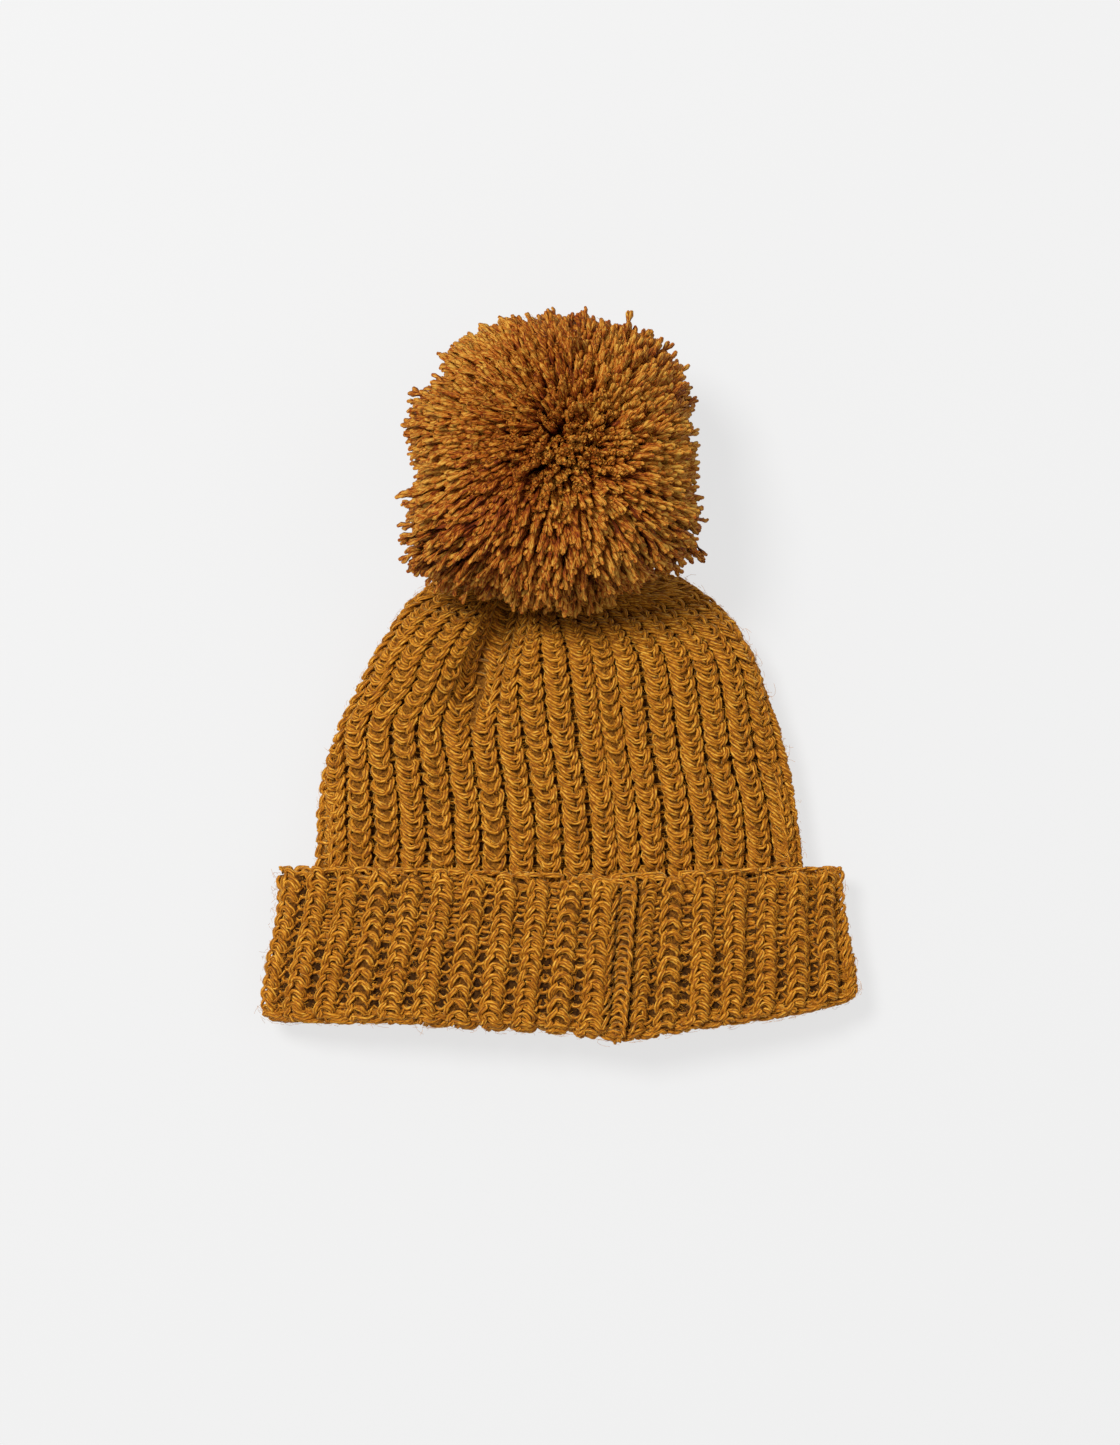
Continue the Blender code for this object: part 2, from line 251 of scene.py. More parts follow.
def bow(x, v):
    """How the brim bows: v 0 at the fold, 1 at the free edge."""
    off = np.abs(x - 18.0)
    low = np.where(x < 18.0, 3.6 * np.minimum(off / 70.0, 1.0) ** 1.6, 7.8 * (off / 68.0) ** 1.6)
    low = low - 2.2 * np.exp(-(((x - 22.0) / 14.0) ** 2))
    high = -3.0 - 2.2 * np.exp(-(((x - 12.0) / 40.0) ** 2))
    return low * (1 - v) + high * v


def cuff_half_width(y):
    return 95.2 + 4.8 * float(sstep((CUFF_TOP_Y - y) / 48.0))


def cuff_surface():
    """From 16 mm inside the mouth, round the fold, to the free edge."""
    prof = []                                   # y, a, b of the section
    for y in np.linspace(-110.0, -113.5, 4):
        prof.append((y, 82.0, 5.2))
    # round the fold, half a turn between the inner and outer walls
    for th in np.linspace(0.0, math.pi, 26)[1:-1]:
        r_y = 5.0
        mid = 0.5 * (1 - math.cos(th))
        a = 82.0 + (99.9 - 82.0) * mid
        b = 5.2 + (14.9 - 5.2) * mid
        prof.append((-114.6 - r_y * math.sin(th), a, b))
    for y in np.linspace(-114.0, -61.0, 54):
        prof.append((y, cuff_half_width(y), 14.9))
    ns = 1110
    sigma = np.arange(ns) / ns
    rings = []
    for y, a, b in prof:
        x, w = oval(a, b, 3.0, 1.7)
        run = np.concatenate([[0], np.cumsum(np.hypot(np.diff(x), np.diff(w)))])
        total = run[-1]
        share = (y - FOLD_Y) / (CUFF_TOP_Y - FOLD_Y)
        lean = (-2.6 + 5.2 * min(max(share, 0), 1)) / total
        pos = ((sigma + lean) % 1.0) * total
        px = np.interp(pos, run, x)
        pw = np.interp(pos, run, w)
        pz = np.maximum(MID_Z + pw, 0.0)
        vv = min(max(share, 0.0), 1.0)
        if b < 14.0 and y > -114.0:
            vv = 0.0                                  # the inner lip bows with the fold
        py = y + bow(px, vv) * (1.0 if b > 5.3 else 0.8)
        rings.append(np.stack([px, py, pz], axis=1))
    return Surface(np.array(rings))


# ---------------------------------------------------------------- yarn as geometry
PLY8 = np.array([
    (1.0, 0.0), (0.64, 0.60), (0.0, 0.36), (-0.64, 0.60),
    (-1.0, 0.0), (-0.64, -0.60), (0.0, -0.36), (0.64, -0.60),
])
HEX = np.array([(math.cos(a), math.sin(a)) for a in np.arange(6) * math.pi / 3])


class Yarns:
    """Collects plied tubes and turns them into one mesh."""

    def __init__(self):
        self.v, self.f, self.a = [], [], []
        self.n = 0
        self.tints = []

    def tubes(self, path, normal, radius, phase, closed, along=None, tint=None, ring=PLY8, caps=False, flat=1.0):
        """path [c, l, 3] in mm, normal the same, radius and phase broadcast to [c, l]."""
        c, l, _ = path.shape
        if closed:
            t = np.roll(path, -1, axis=1) - np.roll(path, 1, axis=1)
        else:
            t = np.gradient(path, axis=1)
        t = unit(t)
        b = unit(np.cross(t, normal))
        n = np.cross(b, t)
        step = np.linalg.norm(np.diff(path, axis=1), axis=2)
        run = np.concatenate([np.zeros((c, 1)), np.cumsum(step, axis=1)], axis=1)
        if along is not None:
            run = run + along
        phase = np.broadcast_to(phase, (c, l))
        radius = np.broadcast_to(radius, (c, l))
        k = len(ring)
        cs, sn = np.cos(phase)[..., None], np.sin(phase)[..., None]
        rx, ry = ring[:, 0], ring[:, 1]
        u = rx * cs - ry * sn
        w = (rx * sn + ry * cs) * flat
        v = path[:, :, None, :] + (
            b[:, :, None, :] * u[..., None] + n[:, :, None, :] * w[..., None]
        ) * radius[..., None, None]
        idx = np.arange(c * l * k).reshape(c, l, k) + self.n
        nxt = np.roll(idx, -1, axis=2)
        if closed:
            a0, a1 = idx, np.roll(idx, -1, axis=1)
            b0, b1 = nxt, np.roll(nxt, -1, axis=1)
        else:
            a0, a1 = idx[:, :-1], idx[:, 1:]
            b0, b1 = nxt[:, :-1], nxt[:, 1:]
        quads = np.stack([a0, b0, b1, a1], axis=-1).reshape(-1, 4)
        self.f.append(quads)
        if caps and not closed:
            for end, order in ((idx[:, 0], 1), (idx[:, -1], -1)):
                e = end[:, ::order] if order == 1 else end[:, ::-1]
                e = e[:, ::-1] if order == 1 else e[:, ::1]
                self.f.append(np.stack([e[:, 0], e[:, 1], e[:, 2], e[:, 3]], axis=-1))
                if k == 6:
                    self.f.append(np.stack([e[:, 0], e[:, 3], e[:, 4], e[:, 5]], axis=-1))
                else:
                    self.f.append(np.stack([e[:, 0], e[:, 3], e[:, 4], e[:, 7]], axis=-1))
                    self.f.append(np.stack([e[:, 4], e[:, 5], e[:, 6], e[:, 7]], axis=-1))
        self.v.append(v.reshape(-1, 3))
        att = np.empty((c, l, k, 3), np.float32)
        att[..., 0] = run[..., None]
        att[..., 1] = rx
        att[..., 2] = ry
        self.a.append(att.reshape(-1, 3))
        tn = np.zeros((c, l)) if tint is None else np.broadcast_to(tint, (c, l))
        self.tints.append(np.repeat(tn.reshape(-1), k))
        self.n += c * l * k
        return self

    def mesh(self, name, material):
        v = np.concatenate(self.v).astype(np.float32) * MM
        v[:, 2] = np.where(v[:, 2] < 0.0, 0.02 * v[:, 2], v[:, 2])    # the yarn lying on the table is pressed flat
        f = np.concatenate(self.f).astype(np.int32)
        me = bpy.data.meshes.new(name)
        me.vertices.add(len(v))
        me.vertices.foreach_set("co", v.ravel())
        me.loops.add(f.size)
        me.loops.foreach_set("vertex_index", f.ravel())
        me.polygons.add(len(f))
        me.polygons.foreach_set("loop_start", np.arange(0, f.size, 4, dtype=np.int32))
        at = me.attributes.new("fibre", "FLOAT_VECTOR", "POINT")
        at.data.foreach_set("vector", np.concatenate(self.a).astype(np.float32).ravel())
        tn = me.attributes.new("tint", "FLOAT", "POINT")
        tn.data.foreach_set("value", np.concatenate(self.tints).astype(np.float32))
        me.update(calc_edges=True)
        me.shade_smooth()
        me.materials.append(material)
        obj = bpy.data.objects.new(name, me)
        bpy.context.scene.collection.objects.link(obj)
        return obj


def catmull(ctrl, sub):
    """Closed Catmull-Rom through ctrl [c, k, d] with sub samples a span."""
    p0, p1 = np.roll(ctrl, 1, axis=1), ctrl
    p2, p3 = np.roll(ctrl, -1, axis=1), np.roll(ctrl, -2, axis=1)
    t = (np.arange(sub) / sub)[None, None, :, None]
    p0, p1, p2, p3 = (q[:, :, None, :] for q in (p0, p1, p2, p3))
    out = 0.5 * (
        2 * p1
        + (p2 - p0) * t
        + (2 * p0 - 5 * p1 + 4 * p2 - p3) * t**2
        + (3 * p1 - p0 - 3 * p2 + p3) * t**3
    )
    c, k = ctrl.shape[:2]
    return out.reshape(c, k * sub, -1)


# Control points of one stitch: across in mm, along in rows, height in mm, turn of the plies in half turns.
# "V" is measured from the middle of the rib, "P" from the middle of the valley.
BODY_A = [
    ("V", 0.4, -0.36, -1.8, -0.30), ("V", -0.75, -0.20, -0.35, -0.10), ("V", -2.0, 0.04, -0.35, 0.05),
    ("V", -3.05, 0.44, -1.5, 0.20), ("V", -2.2, 0.86, -2.8, 0.50), ("V", 1.0, 0.95, -2.8, 0.75),
    ("V", 3.0, 0.76, -1.75, 0.92), ("V", 2.95, 0.36, -0.50, 1.00), ("V", 2.25, -0.04, -0.02, 1.08),
    ("V", 1.2, -0.38, -0.95, 1.22),
    ("P", -1.2, -0.45, -5.2, 1.45), ("P", 0.0, 0.40, -6.2, 1.60), ("P", 1.0, -0.10, -5.9, 1.68),
]
BODY_B = [
    ("P", 0.0, 0.75, -6.1, -0.45), ("V", -3.05, 0.97, -1.6, -0.20), ("V", -2.0, 0.58, -0.40, -0.04),
    ("V", -0.6, 0.35, -0.34, 0.06), ("V", 0.8, 0.33, -0.48, 0.16), ("V", 1.9, 0.55, -1.2, 0.28), ("V", 2.6, 0.9, -2.5, 0.42),
]


def rib_table(seam_sigma, girth, seam_pitch):
    """Share of the girth at the middle of each rib, the seam's rib first."""
    p = (girth - 2 * seam_pitch) / (RIBS - 2)
    gaps = [seam_pitch] + [p] * (RIBS - 2) + [seam_pitch]
    run = np.concatenate([[0], np.cumsum(gaps)])[:RIBS]
    return seam_sigma + run / girth


def stitches(yarns, surf, ribs, pattern, rows, row_mm, v0, rng, sub=2, flip=False,
             radius=YARN, pitch0=9.2, jitter=1.0, sink=-1.0, narrow=1.0, seam=None):
    """Courses of yarn round the hat. rows: list of row numbers."""
    rows = np.asarray(rows, float)
    nr, k = len(rows), len(pattern)
    ribs = np.asarray(ribs)
    nxt = np.roll(ribs, -1).copy()
    nxt[-1] += 1.0
    valley = 0.5 * (ribs + nxt)
    kind = np.array([1.0 if p[0] == "P" else 0.0 for p in pattern])
    x = np.array([p[1] for p in pattern])
    t = np.array([p[2] for p in pattern])
    h = np.array([p[3] for p in pattern])
    ply = np.array([p[4] for p in pattern]) * math.pi
    around = math.pi * round((ply[-1] - ply[0]) / math.pi + 0.2)
    if flip:
        # the same course from the other end, its valley points first
        x, t = -x[::-1], -t[::-1]
        h, kind, ply = h[::-1], kind[::-1], -ply[::-1]
        cut = 0 if kind[0] else int(np.argmax(kind))
        x, t, h, kind = (np.roll(q, -cut) for q in (x, t, h, kind))
        ply = np.concatenate([ply[cut:], ply[:cut] + around])
        valley = np.roll(valley, 1)
        valley[0] -= 1.0
    v_row = v0 + rows * row_mm                                    # [nr]
    girth = surf.girth_at(v_row)[:, None]                         # [nr,1]
    on_rib, _ = surf.at(np.tile(ribs, (nr, 1)), np.tile(v_row[:, None], (1, RIBS)), np.zeros((nr, RIBS)))
    apart = np.linalg.norm(np.roll(on_rib, -1, axis=1) - on_rib, axis=2)
    own = 0.5 * (apart + np.roll(apart, 1, axis=1))               # mm between ribs, here
    step = (nxt - ribs)
    own_share = 0.5 * (step + np.roll(step, 1))[None]
    per_mm = own_share / own                                      # share of the girth per mm
    scale = np.clip(own / pitch0, 0.25, 1.15) * narrow            # [nr,ribs]
    centre = np.where(kind[None, :] > 0, valley[:, None], ribs[:, None])   # [ribs,k]
    xs = np.tile(x, (RIBS, 1))
    ts = np.tile(t, (RIBS, 1))
    hs = np.tile(h, (RIBS, 1))
    if seam is not None:
        xs[0], ts[0], hs[0] = (np.array([q[i] for q in seam]) for i in range(3))
        centre = centre.copy()
        centre[0] = ribs[0]
        scale[:, 0] = 1.0
    sig = centre[None] + xs[None] * (scale * per_mm)[:, :, None]
    vv = v_row[:, None, None] + ts[None] * row_mm
    # neighbouring ribs don't line up exactly
    vv = vv + (rng.normal(0, 0.16, (1, RIBS, 1)) * row_mm) * jitter
    hh = np.broadcast_to(hs[None], (nr, RIBS, k)) * np.clip(scale[:, :, None], 0.45, 1.0)
    jx = rng.normal(0, 0.16, (nr, RIBS, k)) * jitter
    jt = rng.normal(0, 0.14, (nr, RIBS, k)) * jitter
    jh = rng.normal(0, 0.12, (nr, RIBS, k)) * jitter
    # whole-stitch shifts
    jx = jx + rng.normal(0, 0.16, (nr, RIBS, 1)) * jitter
    jt = jt + rng.normal(0, 0.20, (nr, RIBS, 1)) * jitter
    jh = jh + rng.normal(0, 0.16, (nr, RIBS, 1)) * jitter
    sig = sig + jx * (scale * per_mm)[:, :, None]
    vv = vv + jt
    hh = hh + jh + sink
    ctrl = np.stack([sig, vv, hh], axis=-1).reshape(nr, RIBS * k, 3)
    # keep the share unwrapped along the course
    base = np.repeat(np.arange(RIBS), k)
    fine = catmull_open_share(ctrl, sub)
    p, n = surf.at(fine[..., 0], fine[..., 1], fine[..., 2])
    along_dir = unit(np.roll(p, -1, axis=1) - np.roll(p, 1, axis=1))
    count = RIBS * k * sub
    at = np.arange(k * sub) / sub
    one = np.interp(at, np.arange(k + 1), np.concatenate([ply, [ply[0] + around]]))
    ph = (one[None] + around * np.arange(RIBS)[:, None]).reshape(-1)
    # the plies close on themselves after the whole course
    ph = ph[None] + rng.normal(0, 0.12, (nr, 1)) + 0.28 * wave_noise(rng, np.arange(count) / (k * sub) + np.arange(nr)[:, None] * 7.3, 2.7)
    r = radius * np.repeat(np.clip(scale, 0.5, 1.0) ** 0.8, k * sub, axis=1) * (1 + 0.05 * rng.normal(0, 1, (nr, 1)))
    r = r * (1 + 0.05 * wave_noise(rng, np.arange(count)[None] / (k * sub) + np.arange(nr)[:, None] * 3.1, 1.9))
    ref = unit(n + 0.25 * np.cross(n, along_dir))
    tint = rng.normal(0, 1, (nr, 1)) * 0.5 + 0.6 * wave_noise(rng, np.arange(count)[None] / (k * sub) + np.arange(nr)[:, None] * 5.7, 6.3)
    yarns.tubes(p, n, r, ph, True, tint=tint, along=rng.random((nr, 1)) * 900)
    return yarns


def catmull_open_share(ctrl, sub):
    """As catmull, for a course whose first value grows by 1 in each round."""
    first = ctrl[..., 0]
    p0, p1 = np.roll(ctrl, 1, axis=1), ctrl
    p2, p3 = np.roll(ctrl, -1, axis=1), np.roll(ctrl, -2, axis=1)
    p0, p2, p3 = p0.copy(), p2.copy(), p3.copy()
    p0[:, 0, 0] -= 1.0
    p2[:, -1, 0] += 1.0
    p3[:, -1, 0] += 1.0
    p3[:, -2, 0] += 1.0
    t = (np.arange(sub) / sub)[None, None, :, None]
    p0, p1, p2, p3 = (q[:, :, None, :] for q in (p0, p1, p2, p3))
    out = 0.5 * (
        2 * p1
        + (p2 - p0) * t
        + (2 * p0 - 5 * p1 + 4 * p2 - p3) * t**2
        + (3 * p1 - p0 - 3 * p2 + p3) * t**3
    )
    c, k = ctrl.shape[:2]
    return out.reshape(c, k * sub, -1)


# ---------------------------------------------------------------- materials
def ramp_node(nodes, stops):
    ramp = nodes.new("ShaderNodeValToRGB")
    el = ramp.color_ramp.elements
    while len(el) > 1:
        el.remove(el[-1])
    el[0].position, el[0].color = stops[0][0], (*stops[0][1], 1)
    for pos, colour in stops[1:]:
        e = el.new(pos)
        e.color = (*colour, 1)
    return ramp


def grey(v):
    return (v, v, v)


def yarn_material(name, level=1.0, warm=1.0, plies=True, sheen=0.30, contrast=1.15, bump_mm=0.30, across=1.45):
    """Plied wool: the attribute fibre holds (mm along the yarn, place across it), tint a slow change of tone, random in
    the knit and painted shade along the pompom's strands.
    """
    mat = bpy.data.materials.new(name)
    mat.use_nodes = True
    nt = mat.node_tree
    nodes, links = nt.nodes, nt.links
    shader = nodes["Principled BSDF"]
    shader.inputs["Roughness"].default_value = 0.62
    shader.inputs["Specular IOR Level"].default_value = 0.12
    shader.inputs["Sheen Weight"].default_value = sheen
    shader.inputs["Sheen Roughness"].default_value = 0.4
    shader.inputs["Sheen Tint"].default_value = (1.0, 0.66, 0.25, 1.0)
    fibre = nodes.new("ShaderNodeAttribute")
    fibre.attribute_name = "fibre"
    tint = nodes.new("ShaderNodeAttribute")
    tint.attribute_name = "tint"

    def math_node(op, a, b, c=None):
        n = nodes.new("ShaderNodeMath")
        n.operation = op
        for i, q in enumerate((a, b, c)):
            if q is None:
                continue
            if isinstance(q, (int, float)):
                n.inputs[i].default_value = q
            else:
                links.new(q, n.inputs[i])
        return n.outputs[0]

    # streaks of single fibres, stretched along the yarn and winding with its plies
    mapping = nodes.new("ShaderNodeMapping")
    mapping.inputs["Scale"].default_value = (0.36, across, across)
    links.new(fibre.outputs["Vector"], mapping.inputs["Vector"])
    streak = nodes.new("ShaderNodeTexNoise")
    streak.inputs["Scale"].default_value = 1.5
    streak.inputs["Detail"].default_value = 3.0
    streak.inputs["Roughness"].default_value = 0.65
    links.new(mapping.outputs["Vector"], streak.inputs["Vector"])
    slow = nodes.new("ShaderNodeTexNoise")
    slow.inputs["Scale"].default_value = 0.23
    slow.inputs["Detail"].default_value = 2.0
    links.new(fibre.outputs["Vector"], slow.inputs["Vector"])
    f = math_node("MULTIPLY_ADD", streak.outputs["Fac"], 2.7 * contrast, 0.52 - 1.35 * contrast)
    f = math_node("MULTIPLY_ADD", tint.outputs["Fac"], 0.05 * contrast, f)
    g = math_node("SUBTRACT", slow.outputs["Fac"], 0.5)
    f = math_node("MULTIPLY_ADD", g, 0.55 * contrast, f)
    height = streak.outputs["Fac"]
    if plies:
        xyz = nodes.new("ShaderNodeSeparateXYZ")
        links.new(fibre.outputs["Vector"], xyz.inputs["Vector"])
        side = math_node("ABSOLUTE", xyz.outputs["Y"], 0.0)
        # painted shade: darker in the grooves between the plies and towards the plies' outer edges
        groove_shade = ramp_node(nodes, [
            (0.0, grey(0.16)), (0.14, grey(0.36)), (0.40, grey(1.0)), (0.68, grey(1.05)), (1.0, grey(0.50)),
        ])
        links.new(side, groove_shade.inputs["Fac"])
        f = math_node("MULTIPLY", f, groove_shade.outputs["Color"])
        height = math_node("MULTIPLY", streak.outputs["Fac"], groove_shade.outputs["Color"])
    k = level
    ramp = ramp_node(nodes, [
        (0.0, (0.16 * k, 0.040 * k * warm, 0.002 * k)),
        (0.30, (0.42 * k, 0.135 * k * warm, 0.006 * k)),
        (0.62, (0.72 * k, 0.285 * k * warm ** 0.4, 0.015 * k)),
        (1.0, (0.95 * k, 0.55 * k * warm ** 0.1, 0.080 * k)),
    ])
    links.new(f, ramp.inputs["Fac"])
    links.new(ramp.outputs["Color"], shader.inputs["Base Color"])
    bump = nodes.new("ShaderNodeBump")
    bump.inputs["Strength"].default_value = 0.6
    bump.inputs["Distance"].default_value = bump_mm * MM
    links.new(height, bump.inputs["Height"])
    links.new(bump.outputs["Normal"], shader.inputs["Normal"])
    return mat


def felt_material(name, light, dark, foot_shade_at=(0.62, 0.38)):
    """The dense inside of the cloth between its strands, in the yarn's colour painted dark as the shade down there."""
    mat = bpy.data.materials.new(name)
    mat.use_nodes = True
    nodes, links = mat.node_tree.nodes, mat.node_tree.links
    shader = nodes["Principled BSDF"]
    shader.inputs["Roughness"].default_value = 0.9
    shader.inputs["Specular IOR Level"].default_value = 0.15
    where = nodes.new("ShaderNodeNewGeometry")
    fleck = nodes.new("ShaderNodeTexNoise")
    fleck.inputs["Scale"].default_value = 1100.0
    fleck.inputs["Detail"].default_value = 3.0
    links.new(where.outputs["Position"], fleck.inputs["Vector"])
    ramp = ramp_node(nodes, [(0.35, dark), (0.68, light)])
    links.new(fleck.outputs["Fac"], ramp.inputs["Fac"])
    # painted shade: darker at the foot of the valleys
    depth = nodes.new("ShaderNodeAttribute")
    depth.attribute_name = "tint"
    foot = ramp_node(nodes, [(0.0, grey(1.0)), (0.55, grey(foot_shade_at[0])), (1.0, grey(foot_shade_at[1]))])
    links.new(depth.outputs["Fac"], foot.inputs["Fac"])
    mix = nodes.new("ShaderNodeMix")
    mix.data_type = "RGBA"
    mix.blend_type = "MULTIPLY"
    mix.inputs["Factor"].default_value = 1.0
    links.new(ramp.outputs["Color"], mix.inputs["A"])
    links.new(foot.outputs["Color"], mix.inputs["B"])
    links.new(mix.outputs["Result"], shader.inputs["Base Color"])
    bump = nodes.new("ShaderNodeBump")
    bump.inputs["Strength"].default_value = 0.8
    bump.inputs["Distance"].default_value = 0.0006
    links.new(fleck.outputs["Fac"], bump.inputs["Height"])
    links.new(bump.outputs["Normal"], shader.inputs["Normal"])
    return mat


WOOL = yarn_material("mustard_yarn", level=0.85)
WOOL_CUFF = yarn_material("mustard_yarn_reverse", level=0.87)
WOOL_TUFT = yarn_material("mustard_tuft", level=0.66, warm=0.56, plies=False, sheen=0.0, contrast=1.3, across=1.5)
# the felt is painted dark as the shade between the strands, and the brim's felt darker still so that it reads as shadow
SHADED_FELT = felt_material("mustard_felt_shaded", (0.34, 0.13, 0.010), (0.10, 0.03, 0.002))
SHADED_FELT_CUFF = felt_material("mustard_felt_shaded_reverse", (0.24, 0.088, 0.007), (0.06, 0.018, 0.002), (0.62, 0.34))


def grid_mesh(name, points, material, close_end=False):
    """A tube of quads through points [rows, columns, 3]."""
    nr, nc, _ = points.shape
    idx = np.arange(nr * nc).reshape(nr, nc)
    nxt = np.roll(idx, -1, axis=1)
    quads = np.stack([idx[:-1], nxt[:-1], nxt[1:], idx[1:]], axis=-1).reshape(-1, 4)
    v = (points.reshape(-1, 3) * MM).astype(np.float32)
    me = bpy.data.meshes.new(name)
    me.from_pydata(v.tolist(), [], quads.tolist())
    me.update()
    me.shade_smooth()
    me.materials.append(material)
    obj = bpy.data.objects.new(name, me)
    bpy.context.scene.collection.objects.link(obj)
    return obj


def backing(name, surf, ribs, v_from, v_to, top, deep, width, material, pitch0, step=2.2, slit=False, matted=None):
    """The corrugated body of the fabric just under its strands, carrying painted shade that deepens into the valleys.
    matted gives how far a place is felted flat, which also lightens that shade.
    """
    per = 12
    ribs = np.asarray(ribs)
    nxt = np.roll(ribs, -1).copy()
    nxt[-1] += 1.0
    share = (ribs[:, None] + (nxt - ribs)[:, None] * np.arange(per)[None] / per).reshape(-1)
    place = np.tile(np.arange(per) / per, RIBS)
    v = np.arange(v_from, v_to, step)
    sig = np.broadcast_to(share, (len(v), len(share)))
    girth = surf.girth_at(v)[:, None]
    scale = np.clip(girth / RIBS / pitch0, 0.25, 1.1)
    off = np.minimum(place, 1 - place) * 2            # 0 on the rib, 1 in the valley
    if slit:
        off[0] = 1.0
        off[[1, 2, 3, 4, 5, -1, -2, -3, -4, -5]] = 0.0
    drop = sstep((off[None] - width) / 0.30)
    h = (top + (deep - top) * drop) * np.clip(scale, 0.45, 1.0)
    drop = np.broadcast_to(drop, sig.shape)
    if matted is not None:
        p, n = surf.at(sig, np.broadcast_to(v[:, None], sig.shape), np.zeros(sig.shape))
        m = matted(p)
        h = h + (-2.5 - h) * m * (h < -2.5)
        # less painted shade where the cloth is matted flat
        drop = drop * (1 - 0.7 * m)
    p, n = surf.at(sig, np.broadcast_to(v[:, None], sig.shape), h)
    obj = grid_mesh(name, p, material)
    # the drop into the valleys is also stored as painted shade for the felt's colour
    valley_shade_at = obj.data.attributes.new("tint", "FLOAT", "POINT")
    valley_shade_at.data.foreach_set("value", np.broadcast_to(drop, sig.shape).astype(np.float32).ravel())
    return obj


# ---------------------------------------------------------------- the body
rng = np.random.default_rng(11)
body = body_surface()
girth0 = float(body.girth_at(50.0))
body_ribs = rib_table((SEAM_X) / girth0, girth0, 7.9)
n_rows = int((body.length - 3.0) / BODY_ROW)
print("body length", round(body.length, 1), "rows", n_rows, "girth", round(girth0, 1))

half_rows = n_rows // 2
lower = Yarns()
stitches(lower, body, body_ribs, BODY_A, range(0, half_rows), BODY_ROW, 2.0, rng, narrow=1.11)
stitches(lower, body, body_ribs, BODY_B, range(0, half_rows), BODY_ROW, 2.0, rng, narrow=1.11)
lower_obj = lower.mesh("knit_body_lower", WOOL)
upper = Yarns()
stitches(upper, body, body_ribs, BODY_A, range(half_rows, n_rows), BODY_ROW, 2.0, rng, narrow=1.11)
stitches(upper, body, body_ribs, BODY_B, range(half_rows, n_rows), BODY_ROW, 2.0, rng, narrow=1.11)
upper_obj = upper.mesh("knit_body_upper", WOOL)
def pressed(p):
    """Where the cloth is matted together: in the pleat and in the dent beside its foot."""
    x, y, z = p[..., 0], p[..., 1], p[..., 2]
    pleat = np.exp(-(((x - (-18.0 + 0.36 * (y - 20.0))) / 8.0) ** 2)) * sstep((y + 27.0) / 14.0)
    dent = np.exp(-(((x + 29.0) / 12.0) ** 2) - ((y + 4.0) / 8.0) ** 2)
    return np.maximum(pleat, 0.85 * dent) * (z > MID_Z)


body_core = backing("knit_body_inside", body, body_ribs, 0.5, body.length - 1.0, -2.6, -5.3, 0.52, SHADED_FELT, 9.2, matted=pressed)
for o in (lower_obj, upper_obj, body_core):
    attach(o, "hat")
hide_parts("crown_body")

# the reverse of the knit, seen inside the hat
BACK = [
    ("P", -2.0, -0.20, -0.9, -0.3), ("P", -2.7, 0.35, -0.6, 0.0), ("P", -1.7, 0.85, -0.1, 0.15), ("P", 0.2, 0.98, 0.0, 0.3),
    ("P", 1.9, 0.80, -0.2, 0.45), ("P", 2.8, 0.35, -0.6, 0.6), ("P", 1.8, -0.20, -0.9, 0.8),
    ("V", 0.0, 0.20, -2.0, 1.2),
]


def facing_in(surf, depth):
    """The same tube, its heights counted inwards from the inner face."""
    inner = Surface(surf.P - surf.N * depth)
    inner.N = -surf.N
    return inner


HEM_ROWS = 10
body_back = facing_in(body, 7.2)
back = Yarns()
stitches(back, body_back, body_ribs, BACK, range(HEM_ROWS, half_rows + 8), BODY_ROW, 2.0, rng, sub=2, sink=0.0, narrow=1.1)
back_obj = back.mesh("knit_body_reverse", WOOL)
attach(back_obj, "hat")

# the lowest rows of the reverse run down into the fold
hem = Yarns()
stitches(hem, body_back, body_ribs, BACK, range(0, HEM_ROWS), BODY_ROW, 2.0, rng, sub=2, sink=0.0, narrow=1.1)
hem_obj = hem.mesh("knit_hem_reverse", WOOL)
hem_core = backing("knit_hem_inside", body_back, body_ribs, 0.5, HEM_ROWS * BODY_ROW + 4.0, -3.2, -2.4, 0.52, SHADED_FELT, 9.2)
for o in (hem_obj, hem_core):
    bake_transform(o)

# mattress stitch down the back seam
def column_yarn(surf, sigma_of, v, h, sway, radius, turn, rng):
    """One yarn running along the ribs, swaying from side to side."""
    y = Yarns()
    girth = surf.girth_at(v)
    sig = sigma_of + sway / girth
    p, n = surf.at(sig, v, h)
    y.tubes(p[None], n[None], radius, (np.arange(len(v)) * turn)[None], False,
            tint=rng.normal(0, 0.6, (1, 1)), caps=True)
    return y

v = np.arange(2.0, body.length - 14.0, 0.55)
seam_sigma = 0.5 * (body_ribs[0] + body_ribs[-1] - 1.0)
seam_obj = column_yarn(body, seam_sigma, v, -3.0 + 0.3 * np.sin(v * 2 * math.pi / BODY_ROW), 0.7 * np.sin(v * math.pi / BODY_ROW),
                       0.85, 0.36, rng).mesh("seam_stitches_body", WOOL)
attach(seam_obj, "hat")
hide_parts("body_seam_yarn")

# ---------------------------------------------------------------- the brim
CUFF_A = [
    ("V", 0.4, -0.36, -1.7, -0.30), ("V", -0.7, -0.20, -0.35, -0.10), ("V", -1.8, 0.04, -0.35, 0.05),
    ("V", -2.75, 0.44, -1.5, 0.20), ("V", -1.8, 0.86, -2.7, 0.50), ("V", 1.0, 0.95, -2.7, 0.75),
    ("V", 2.7, 0.76, -1.7, 0.92), ("V", 2.65, 0.36, -0.50, 1.00), ("V", 2.0, -0.04, -0.02, 1.08),
    ("V", 1.1, -0.38, -1.0, 1.22),
    ("P", -2.3, -0.05, -3.7, 1.42), ("P", -1.3, 0.34, -3.2, 1.52), ("P", 0.0, 0.46, -3.0, 1.60),
    ("P", 1.3, 0.30, -3.3, 1.66), ("P", 2.2, -0.10, -4.0, 1.70),
]
